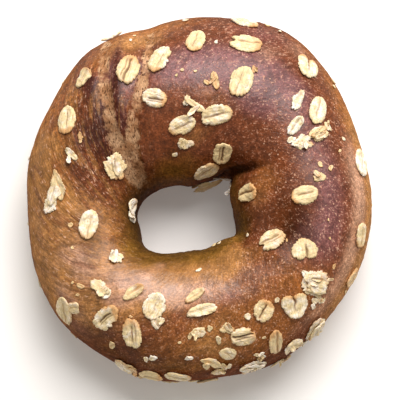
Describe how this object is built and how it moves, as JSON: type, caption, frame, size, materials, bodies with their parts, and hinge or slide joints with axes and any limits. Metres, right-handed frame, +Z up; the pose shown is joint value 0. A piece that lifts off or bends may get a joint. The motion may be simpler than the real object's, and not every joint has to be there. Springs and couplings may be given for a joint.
{
  "type": "bagel",
  "caption": "Oat-topped twisted bagel: a thick, uneven ring of baked dough with a small off-centre hole and rolled-oat flakes stuck to its crust.",
  "frame": {"origin": "middle of the bounding box's bottom face, on the table that the bagel lies on", "axes": "+Z up out of the table through the hole, +Y towards the thick side of the ring, the bagel's longest way across"},
  "size_m": [0.1106, 0.1194, 0.0436],
  "materials": {
    "crust": "satin",
    "rolled_oat": "matte"
  },
  "bodies": {
    "root": {"bread_ring": "crust", "oat_whole_01": "rolled_oat", "oat_split_02": "rolled_oat", "oat_whole_03": "rolled_oat", "oat_whole_04": "rolled_oat", "oat_split_05": "rolled_oat", "oat_half_06": "rolled_oat", "oat_split_07": "rolled_oat", "oat_whole_08": "rolled_oat", "oat_split_09": "rolled_oat", "oat_whole_10": "rolled_oat", "oat_split_11": "rolled_oat", "oat_whole_12": "rolled_oat", "oat_shard_13": "rolled_oat", "oat_split_14": "rolled_oat", "oat_whole_15": "rolled_oat", "oat_heart_16": "rolled_oat", "oat_shard_17": "rolled_oat", "oat_whole_18": "rolled_oat", "oat_whole_19": "rolled_oat", "oat_cluster_20": "rolled_oat", "oat_shard_21": "rolled_oat", "oat_whole_22": "rolled_oat", "oat_whole_23": "rolled_oat", "oat_split_24": "rolled_oat", "oat_heart_25": "rolled_oat", "oat_whole_26": "rolled_oat", "oat_half_27": "rolled_oat", "oat_whole_28": "rolled_oat", "oat_cluster_29": "rolled_oat", "oat_shard_30": "rolled_oat", "oat_shard_31": "rolled_oat", "oat_whole_32": "rolled_oat", "oat_cluster_33": "rolled_oat", "oat_heart_34": "rolled_oat", "oat_split_35": "rolled_oat", "oat_split_36": "rolled_oat", "oat_whole_37": "rolled_oat", "oat_half_38": "rolled_oat", "oat_cluster_39": "rolled_oat", "oat_half_40": "rolled_oat", "oat_whole_41": "rolled_oat", "oat_half_42": "rolled_oat", "oat_half_43": "rolled_oat", "oat_split_44": "rolled_oat", "oat_split_45": "rolled_oat", "oat_whole_46": "rolled_oat", "oat_whole_47": "rolled_oat", "oat_whole_48": "rolled_oat", "oat_whole_49": "rolled_oat", "oat_half_50": "rolled_oat", "oat_cluster_51": "rolled_oat", "oat_whole_52": "rolled_oat", "oat_split_53": "rolled_oat", "oat_whole_54": "rolled_oat", "oat_half_55": "rolled_oat", "oat_whole_56": "rolled_oat", "oat_split_57": "rolled_oat", "oat_whole_58": "rolled_oat", "oat_whole_59": "rolled_oat"}
  },
  "joints": []
}
